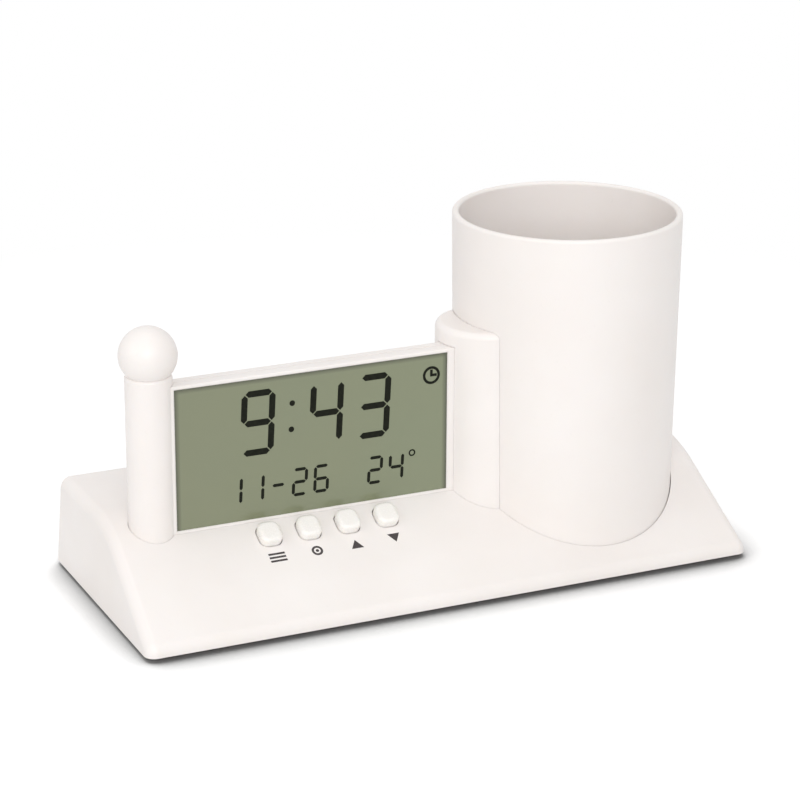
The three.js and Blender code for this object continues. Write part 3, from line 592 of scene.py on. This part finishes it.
placePiece("base_housing", baseShape(), whitePlastic, stands=["base_shell"])
print("base housing made")
placePiece("cup_body", cupShape(), whitePlastic, stands=["pen_cup"])
placePiece("column_body", columnShape(), whitePlastic, stands=["right_column"])
placePiece("post_body", postShape(), whitePlastic, stands=["left_post"])
placePiece("post_ball", ballShape(), whitePlastic, stands=["ball_finial"])
print("cup, column, post and ball made")
placePiece("display_bezel", frameShape(), whitePlastic, stands=["panel_frame"])
placePiece("display_back", rearShape(), whitePlastic, stands=["panel_rear_cover"])
for i, x in enumerate(keyXs, 1):
    placePiece(f"key_cap_{i}", keyShape(x), keyPlastic, body=f"key_{i}",
               stands=[f"button_cap_{i}"])
print("display panel and keys made")

# Rubber feet
footLook = {"chamfer": 0.5, "dish": 0.4, "dishRadius": 3.2, "steps": 64}
for i in range(1, 5):
    low, high = boxOf(f"rubber_foot_{i}")
    radius, chamfer = (high.x - low.x) / 2, footLook["chamfer"]
    dish, dishRadius = footLook["dish"], footLook["dishRadius"]
    profile = [(0, low.z + dish), (dishRadius, low.z + dish), (dishRadius + dish, low.z),
               (radius - chamfer, low.z), (radius, low.z + chamfer), (radius, high.z), (0, high.z)]
    shape = turned(profile, *planMiddle(low, high), footLook["steps"])
    placePiece(f"foot_pad_{i}", shape, footRubber, stands=[f"rubber_foot_{i}"])

# Screws under the base: domed heads with a cross
screwLook = {"edge": 0.45, "edgeSteps": 6, "head": 1.2, "shank": 1.3, "point": 1.0, "tip": 0.4,
             "crossLong": 3.0, "crossWide": 0.72, "crossDeep": 0.65, "steps": 48}
screwNames = [name for name in cadNodes if "screw" in name and not name.startswith("board")]


def screwShape(low, high):
    x, y = planMiddle(low, high)
    radius, shank = (high.y - low.y) / 2, screwLook["shank"]
    edge, shoulder = screwLook["edge"], low.z + screwLook["head"]
    rim = arc((radius - edge, low.z + edge), edge, -quarter, 0, screwLook["edgeSteps"])
    profile = [(0, low.z), *rim, (radius, shoulder), (shank, shoulder), (shank, high.z - screwLook["point"]),
               (screwLook["tip"], high.z), (0, high.z)]
    long, wide = screwLook["crossLong"] / 2, screwLook["crossWide"] / 2
    deep = low.z + screwLook["crossDeep"]
    cross = [block((x - a, y - b, low.z - over), (x + a, y + b, deep))
             for a, b in ((long, wide), (wide, long))]
    return carve(turned(profile, x, y, screwLook["steps"]), *cross)


for name in screwNames:
    placePiece(f"{name}_head", screwShape(*boxOf(name)), brightSteel, stands=[name])

# Battery door: a flat plate with finger grooves and an arrow, whose tongues slide in the cover
doorLook = {"tongue": 1.6, "ledge": 1.2, "edge": 0.4, "edgeSteps": 4, "grooves": 4, "pitch": 2.6,
            "grooveInset": 3, "grooveLong": 20, "grooveWide": 1.2, "grooveRound": 0.59, "grooveDeep": 0.5,
            "arrowInset": 11, "arrowWide": 7, "arrowTall": 5, "arrowDeep": 0.3}
doorX = (doorLow.x + doorHigh.x) / 2
doorSides = (doorLow.x + doorLook["tongue"], doorHigh.x - doorLook["tongue"])


def doorShape():
    plate = block((doorSides[0], doorLow.y, doorLow.z), (doorSides[1], doorHigh.y, doorHigh.z))
    outer = [e for e in plate.edges if all(v.co.z < doorLow.z + tiny for v in e.verts)]
    soften(plate, outer, doorLook["edge"], doorLook["edgeSteps"])
    cutLow = doorLow.z - over
    cuts = []
    for i in range(doorLook["grooves"]):
        groove = roundedPlate(doorLook["grooveLong"], doorLook["grooveWide"], doorLook["grooveRound"],
                              cutLow, doorLow.z + doorLook["grooveDeep"])
        y = doorHigh.y - doorLook["grooveInset"] - i * doorLook["pitch"]
        cuts.append(sitAt(groove, Matrix.Translation((doorX, y, 0))))
    half, tipY = doorLook["arrowWide"] / 2, doorLow.y + doorLook["arrowInset"]
    tailY = tipY - doorLook["arrowTall"]
    arrow = [(doorX - half, tailY), (doorX + half, tailY), (doorX, tipY)]
    cuts.append(prism(arrow, cutLow, doorLow.z + doorLook["arrowDeep"]))
    tongues = block((doorLow.x, doorLow.y, doorLow.z + doorLook["ledge"] + fit),
                    (doorHigh.x, doorHigh.y - doorLook["edge"], doorHigh.z))
    return fuse(carve(plate, *cuts), tongues)


placePiece("battery_door_plate", doorShape(), coverPlastic, body="door",
           stands=["battery_door"])

# Bottom cover: plate inside the base's wall, with sunk screw holes and sound holes
coverLook = {"top": 4.5, "sinkRadius": 2.8, "sinkTop": 3.2, "holeRadius": 1.6, "soundRadius": 1.1,
             "soundCircle": 4.5, "soundHoles": 5, "cutLow": -5, "cutHigh": 10, "root": 0.5, "seatRim": 1.4,
             "seatRise": 1.0, "locatorWall": 2.0, "locatorHeight": 2.0, "steps": 48}
coverTop = coverLook["top"]
ringRoot = coverTop - coverLook["root"]


def buzzerSeat(low, high):  # a stepped ring that holds the disc clear of the sound holes
    radius, rim, top = (high.x - low.x) / 2, coverLook["seatRim"], high.z + coverLook["seatRise"]
    inner, step, outer = radius - rim, radius + fit, radius + fit + rim
    profile = [(inner, ringRoot), (outer, ringRoot), (outer, top), (step, top), (step, low.z), (inner, low.z),
               (inner, ringRoot)]
    return turned(profile, *planMiddle(low, high), cupLook["steps"])


def cupLocator():  # a ring that centres the cup's foot
    outer = cupRadius(coverTop) - cupLook["wall"] - fit
    inner, top = outer - coverLook["locatorWall"], coverTop + coverLook["locatorHeight"]
    profile = [(inner, ringRoot), (outer, ringRoot), (outer, top), (inner, top), (inner, ringRoot)]
    return turned(profile, cupMid.x, cupMid.y, cupLook["steps"])


def screwHole(low, high):  # a clearance hole with a wider sink for the head
    sink, hole, sinkTop = coverLook["sinkRadius"], coverLook["holeRadius"], coverLook["sinkTop"]
    cutLow, cutHigh = coverLook["cutLow"], coverLook["cutHigh"]
    profile = [(0, cutLow), (sink, cutLow), (sink, sinkTop), (hole, sinkTop), (hole, cutHigh), (0, cutHigh)]
    return turned(profile, *planMiddle(low, high), coverLook["steps"])


def coverShape():
    cutLow, cutHigh = coverLook["cutLow"], coverLook["cutHigh"]
    cuts = [block((-far, -far, coverTop), (far, far, far)), block((-far, -far, -far), (far, far, baseLow.z))]
    cuts += [screwHole(*boxOf(name)) for name in screwNames]
    buzzer = boxOf("buzzer_disc")
    for x, y in arc(planMiddle(*buzzer), coverLook["soundCircle"], 0, fullTurn, coverLook["soundHoles"])[1:]:
        cuts.append(upright(coverLook["soundRadius"], cutLow, cutHigh, x, y, coverLook["steps"]))
    ledge = doorLow.z + doorLook["ledge"]
    cuts.append(block((doorSides[0] - fit, doorLow.y - fit, cutLow), (doorSides[1] + fit, far, cutHigh)))
    cuts.append(block((doorLow.x - fit, doorLow.y - fit, ledge), (doorHigh.x + fit, far, cutHigh)))
    plate = carve(wedge(baseLook["wall"] + fit), *cuts)
    return fuse(plate, buzzerSeat(*buzzer), cupLocator())


placePiece("base_cover", coverShape(), coverPlastic, stands=["bottom_cover"])
print("screws, battery door and bottom cover made")

# Battery cells: lying along X, button end to the left on the first and to the right on the second
cellLook = {"button": 2.6, "buttonLong": 1.0, "buttonRound": 0.3, "edge": 0.5, "crimpFrom": 3.4,
            "crimpDeep": 0.25, "crimpHalf": 0.8, "edgeSteps": 5, "buttonSteps": 4, "steps": 96}
wrapLook = {  # bare ends in millimetres, band as shares of the length from the button
    "color": rgb(52, 84, 130), "shade": rgb(40, 66, 106), "bandColor": rgb(196, 200, 206),
    "metal": rgb(190, 192, 194), "bareEnd": 1.8, "edge": 0.2, "band": (0.08, 0.3), "grainScale": 600,
    "grainAmount": 0.3, "rough": 0.3, "roughGrain": 0.15, "bumpStrength": 0.08, "bumpDepth": 0.00005,
}


def cellShape(low, high, side):
    radius, long = (high.y - low.y) / 2, high.x - low.x
    edge, body = cellLook["edge"], long - cellLook["buttonLong"]
    crimp, half = body - cellLook["crimpFrom"], cellLook["crimpHalf"]
    button, rounding = cellLook["button"], cellLook["buttonRound"]
    profile = [
        (0, 0),
        *arc((radius - edge, edge), edge, -quarter, 0, cellLook["edgeSteps"]),
        (radius, crimp - half), (radius - cellLook["crimpDeep"], crimp), (radius, crimp + half),
        *arc((radius - edge, body - edge), edge, 0, quarter, cellLook["edgeSteps"]),
        (button, body),
        *arc((button - rounding, long - rounding), rounding, 0, quarter, cellLook["buttonSteps"]),
        (0, long),
    ]
    shape = turned(profile, 0, 0, cellLook["steps"])
    lie = Matrix.Translation((low + high) / 2) @ Matrix.Rotation(side * quarter, 4, "Y")
    return sitAt(shape, lie @ Matrix.Translation((0, 0, -long / 2)))


def stripe(along, start, end, edge):  # 1 between start and end, with soft edges
    return between(along, start, start + edge) * (1 - between(along, end - edge, end))


def cellWrap(name, look, low, high, side):  # printed sleeve between bare metal ends
    material, shader, place = startMaterial(name)
    along, edge, long = axes(place)[0], look["edge"] * mm, high.x - low.x
    near, away = look["band"]
    start, end = (1 - away, 1 - near) if side > 0 else (near, away)
    sleeve = stripe(along, (low.x + look["bareEnd"]) * mm, (high.x - look["bareEnd"]) * mm, edge)
    band = stripe(along, (low.x + start * long) * mm, (low.x + end * long) * mm, edge)
    grain = noise(place, look["grainScale"], detail=3)
    tone = tint(band, look["color"], look["bandColor"])
    tone = tint(grain * look["grainAmount"], tone, look["shade"])
    feed(shader, color=tint(sleeve, look["metal"], tone), metal=1 - sleeve,
         rough=look["rough"] + grain * look["roughGrain"],
         normal=bump(grain, look["bumpStrength"], look["bumpDepth"]))
    return material


for i, side in ((1, -1), (2, 1)):
    low, high = boxOf(f"battery_cell_{i}")
    sleeve = cellWrap(f"cellWrap{i}", wrapLook, low, high, side)
    placePiece(f"cell_{i}", cellShape(low, high, side), sleeve, stands=[f"battery_cell_{i}"])
print("battery cells made")

# Display marks: seven-segment numbers, a colon, a dial and a ring, a hair in front of the glass
digitLook = {"width": 11.6, "height": 21.8, "bar": 2.1, "gap": 0.25, "slant": 0.05, "midZ": 59.2,
             "thick": 0.04, "pitch": 16.6, "runs": [("9", -54.7), ("43", -31.0)]}
smallLook = {**digitLook, "width": 5.4, "height": 9.6, "bar": 1.05, "gap": 0.14, "midZ": 37.0, "pitch": 7.5,
             "runs": [("11-26", -62.9), ("24", -13.9)]}
colonLook = {"radius": 0.95, "places": [(-42.8, 64.1), (-43.2, 55.3)]}
dialLook = {"x": 6.1, "z": 66.8, "radius": 2.6, "line": 0.9, "hand": 1.9}
degreeLook = {"x": -0.7, "z": 41.0, "radius": 0.95, "line": 0.5}
dotSteps = 40
digitBars = {"0": "abcdef", "1": "bc", "2": "abged", "3": "abgcd", "4": "fgbc", "5": "afgcd", "6": "afgedc",
             "7": "abc", "8": "abcdefg", "9": "abcdfg", "-": "g"}


def flat(points, thick):
    return prism(points, 0, thick)


def barShape(ax, ay, bx, by, look):  # one segment with pointed ends, between two corners of a digit
    along = Vector((bx - ax, by - ay)).normalized()
    side = Vector((-along.y, along.x)) * look["bar"] / 2
    start = Vector((ax, ay)) + along * look["gap"]
    end = Vector((bx, by)) - along * look["gap"]
    nose = along * look["bar"] / 2
    points = [start, start + nose - side, end - nose - side, end, end - nose + side, start + nose + side]
    return flat([p[:] for p in points], look["thick"])


def digitShapes(sign, x, look):
    half, tall = (look["width"] - look["bar"]) / 2, (look["height"] - look["bar"]) / 2
    ends = {"a": (-half, tall, half, tall), "b": (half, tall, half, 0), "c": (half, 0, half, -tall),
            "d": (-half, -tall, half, -tall), "e": (-half, 0, -half, -tall), "f": (-half, tall, -half, 0),
            "g": (-half, 0, half, 0)}
    shapes = [barShape(*ends[bar], look) for bar in digitBars[sign]]
    lean = Matrix.Identity(4)
    lean[0][1] = look["slant"]
    return [sitAt(shape, Matrix.Translation((x, look["midZ"], 0)) @ lean) for shape in shapes]


def ringShape(radius, width, thick, x, y, steps=64):
    inner, outer = radius - width / 2, radius + width / 2
    return turned([(inner, 0), (outer, 0), (outer, thick), (inner, thick), (inner, 0)], x, y, steps)


def dialSign(look):
    x, z, half, hand = look["x"], look["z"], look["line"] / 2, look["hand"]
    hands = [(-half, -half), (hand, -half), (hand, half), (half, half), (half, hand), (-half, hand)]
    thick = digitLook["thick"]
    return [ringShape(look["radius"], look["line"], thick, x, z),
            flat([(x + a, z + b) for a, b in hands], thick)]


onGlass = Matrix.Translation((0, glassLow.y, 0)) @ Matrix.Rotation(quarter, 4, "X")
marks = dialSign(dialLook)
for look in (digitLook, smallLook):
    for signs, start in look["runs"]:
        for i, sign in enumerate(signs):
            marks += digitShapes(sign, start + i * look["pitch"], look)
for x, z in colonLook["places"]:
    marks.append(upright(colonLook["radius"], 0, digitLook["thick"], x, z, dotSteps))
marks.append(ringShape(degreeLook["radius"], degreeLook["line"], digitLook["thick"], degreeLook["x"],
                       degreeLook["z"], dotSteps))
placePiece("lcd_marks", sitAt(merged(marks), onGlass), inkBlack)

# Key signs printed on the slope under each key
signLook = {"rowY": -22.65, "thick": 0.03, "line": 0.75, "barHalf": 2.8, "barPitch": 1.4, "ring": 1.5,
            "dot": 0.55, "dotSteps": 32, "arrowHalf": 2.108, "arrowTall": 3.4}


def barsSign(look):
    half, line, pitch = look["barHalf"], look["line"] / 2, look["barPitch"]
    return [block((-half, y - line, 0), (half, y + line, look["thick"])) for y in (-pitch, 0, pitch)]


def setSign(look):
    return [ringShape(look["ring"], look["line"], look["thick"], 0, 0),
            upright(look["dot"], 0, look["thick"], 0, 0, look["dotSteps"])]


def arrowSign(look, turn):
    half, tall = look["arrowHalf"], look["arrowTall"] / 2 * turn
    return [flat([(-half, -tall), (half, -tall), (0, tall)], look["thick"])]


signs = [barsSign(signLook), setSign(signLook), arrowSign(signLook, 1), arrowSign(signLook, -1)]
printed = []
for x, sign in zip(keyXs, signs):
    printed += [sitAt(shape, onSlope(x, signLook["rowY"])) for shape in sign]
placePiece("key_signs", merged(printed), printInk)
print("display marks and key signs made")

# Display glass: grey-green with a faint cloud; a painted shadow of the bezel over a thin seal line darkens
# its left, right and top edges
glassLook = {
    "color": rgb(125, 130, 104), "rightColor": rgb(127, 134, 107),
    "cloudColor": rgb(129, 133, 104), "cloudScale": 30, "cloudFrom": 0.35, "cloudTo": 0.65,
    # painted shadow of the bezel, with the cell's thin seal line, in a band along the window's edges
    "cloudAmount": 0.35, "sealAndBezelShadowColor": rgb(60, 62, 52), "sealAndBezelShadowWidth": 0.0018, "sealAndBezelShadowAmount": 0.8,
    "rough": 0.22, "roughFine": 0.06, "fineScale": 2400, "bumpStrength": 0.03, "bumpDepth": 0.00004,
    "coat": 0.25, "coatRough": 0.05,
}
windowLeft = (frameLow.x + panelLook["left"]) * mm
windowRight = (frameHigh.x - panelLook["right"]) * mm
windowTop = (frameHigh.z - panelLook["top"]) * mm


def lcdGlass(look):
    material, shader, place = startMaterial("lcdGlass")
    x, _, z = axes(place)
    cloud = noise(place, look["cloudScale"], detail=3)
    fine = noise(place, look["fineScale"], detail=1)
    tone = tint(between(x, windowLeft, windowRight), look["color"], look["rightColor"])
    cloud = between(cloud, look["cloudFrom"], look["cloudTo"])
    tone = tint(cloud * look["cloudAmount"], tone, look["cloudColor"])
    # painted shadow of the bezel with the seal line under it: dark along the window's left, right and top
    # edges
    clear = between(x, windowLeft, windowLeft + look["sealAndBezelShadowWidth"])
    clear = clear * (1 - between(x, windowRight - look["sealAndBezelShadowWidth"], windowRight))
    clear = clear * (1 - between(z, windowTop - look["sealAndBezelShadowWidth"], windowTop))
    tone = tint((1 - clear) * look["sealAndBezelShadowAmount"], tone, look["sealAndBezelShadowColor"])
    feed(shader, color=tone, rough=look["rough"] + (fine - 0.5) * look["roughFine"], coat=look["coat"],
         coatRough=look["coatRough"], normal=bump(fine, look["bumpStrength"], look["bumpDepth"]))
    return material


# Finishes of the CAD nodes that stay in view
finishOf = {
    "battery_tray": coverPlastic,
    "lcd_cell": lcdGlass(glassLook), "lcd_reflector": reflectorFoil, "zebra_strip": zebraRubber,
    "display_board": boardGreen, "key_board": boardGreen, "chip_blob": blackPlastic, "crystal": brightSteel,
    "ribbon_cable": ribbonFilm, "tact_switch": blackPlastic, "switch_plunger": blackPlastic,
    "board_screw": brightSteel, "battery_contact": contactBrass,
    "battery_lead_positive": redWire, "battery_lead_negative": blackWire, "buzzer_disc": contactBrass,
}
for name, node in cadNodes.items():
    if node.hide_render:
        continue
    found = [key for key in finishOf if name.startswith(key)]
    node.data.materials.clear()
    node.data.materials.append(finishOf[max(found, key=len)])
print("CAD nodes finished")

# Floor, light and camera
stageLook = {
    "size": 6.0, "floor": (0.8, 0.8, 0.8, 1), "seenFloor": (1.2, 1.2, 1.2, 1),
    "whiteFrom": 0.2, "whiteTo": 0.4,
    # painted shadow on the floor: a dark grey mixed into its colour near the base by an occlusion test that
    # leans back
    "paintedShadow": (0.2, 0.2, 0.2, 1), "paintedShadowReach": 0.016, "paintedShadowSamples": 8, "paintedShadowFrom": 0.42, "paintedShadowTo": 0.94,
    "lean": (-0.03, 0.55, 0.7), "world": 0.67, "white": (1, 1, 1, 1),
}


def seenRay(tree):  # 1 for what the camera sees, also in a mirror or through glass
    path = tree.nodes.new("ShaderNodeLightPath").outputs
    camera, glossy, clear = (Wire(path[f"Is {name} Ray"]) for name in ("Camera", "Glossy", "Transmission"))
    return camera.maths("MAXIMUM", camera.maths("MAXIMUM", camera, glossy), clear)


def makeFloor(look):
    shape = bmesh.new()
    bmesh.ops.create_grid(shape, x_segments=1, y_segments=1, size=look["size"])
    floor = looseObject("floor", shape)
    material = bpy.data.materials.new("paleFloorWithPaintedShadow")
    material.use_nodes = True
    tree = material.node_tree
    tree.nodes.remove(tree.nodes["Principled BSDF"])
    seen = seenRay(tree)
    place = Wire(tree.nodes.new("ShaderNodeTexCoord").outputs["Object"])
    away = place.add("ShaderNodeVectorMath", {"operation": "LENGTH"}, {0: place}, "Value")
    # the occlusion test leans back, so the painted shadow reaches further in front of the base than past its
    # ends
    lean = place.add("ShaderNodeCombineXYZ", {}, dict(enumerate(look["lean"])))
    paintedShadow = {"Distance": look["paintedShadowReach"], "Normal": lean}
    paintedShadowClear = place.add("ShaderNodeAmbientOcclusion", {"samples": look["paintedShadowSamples"]}, paintedShadow, "AO")
    paintedShadowClear = between(paintedShadowClear, look["paintedShadowFrom"], look["paintedShadowTo"])  # painted shadow: the floor's colour goes dark grey in the gap under the base and fades out round it
    # painted shadow: the seen floor's colour runs from dark grey where the base is close to plain white away
    # from it
    seenFloorWithPaintedShadow = tint(paintedShadowClear, look["paintedShadow"], look["seenFloor"])
    matt = seen.add("ShaderNodeBsdfDiffuse", {}, {"Color": tint(seen, look["floor"], seenFloorWithPaintedShadow)})
    white = seen.add("ShaderNodeEmission", {}, {"Color": look["white"], "Strength": 1.0})
    fade = between(away, look["whiteFrom"], look["whiteTo"]) * seen
    both = seen.add("ShaderNodeMixShader", {}, {0: fade, 1: matt, 2: white})
    tree.links.new(both.socket, tree.nodes["Material Output"].inputs["Surface"])
    floor.data.materials.append(material)


def makeWorld(look):
    world = bpy.data.worlds.new("studio")
    world.use_nodes = True
    bpy.context.scene.world = world
    tree = world.node_tree
    seen = seenRay(tree)
    strength = seen + (1 - seen) * look["world"]
    tree.links.new(strength.socket, tree.nodes["Background"].inputs["Strength"])
    tree.nodes["Background"].inputs["Color"].default_value = look["white"]


lampLook = {"target": (0, 0, 0.05), "size": 0.9}
lampPlaces = {  # place and watts of each soft box
    "overhead": ((0, 0.1, 1.5), 2.6),
    "front": ((-0.55, -1.55, 0.8), 11),
    "left": ((-1.35, -0.3, 0.8), 3),
}


def makeLamp(name, place, watts):
    lamp = bpy.data.lights.new(name, "AREA")
    lamp.shape = "SQUARE"
    lamp.size = lampLook["size"]
    lamp.energy = watts
    holder = bpy.data.objects.new(name, lamp)
    holder.location = place
    aim = Vector(lampLook["target"]) - Vector(place)
    holder.rotation_euler = aim.to_track_quat("-Z", "Y").to_euler()
    bpy.context.scene.collection.objects.link(holder)


cameraLook = {"place": (-0.3627, -0.78895, 0.3587), "heading": 24.6255, "down": 19.2, "roll": 0.22,
              "lens": 126.17, "sensor": 36}


def makeCamera(look):
    camera = bpy.data.cameras.new("camera")
    camera.lens = look["lens"]
    camera.sensor_width = look["sensor"]
    holder = bpy.data.objects.new("camera", camera)
    turn = Matrix.Rotation(-math.radians(look["heading"]), 4, "Z")
    tilt = Matrix.Rotation(quarter - math.radians(look["down"]), 4, "X")
    roll = Matrix.Rotation(math.radians(look["roll"]), 4, "Z")
    holder.matrix_world = Matrix.Translation(look["place"]) @ turn @ tilt @ roll
    bpy.context.scene.collection.objects.link(holder)
    bpy.context.scene.camera = holder


makeFloor(stageLook)
makeWorld(stageLook)
for name, (place, watts) in lampPlaces.items():
    makeLamp(name, place, watts)
makeCamera(cameraLook)
bpy.context.scene.view_settings.view_transform = "Standard"
print("stage, light and camera set")

bpy.context.view_layer.update()
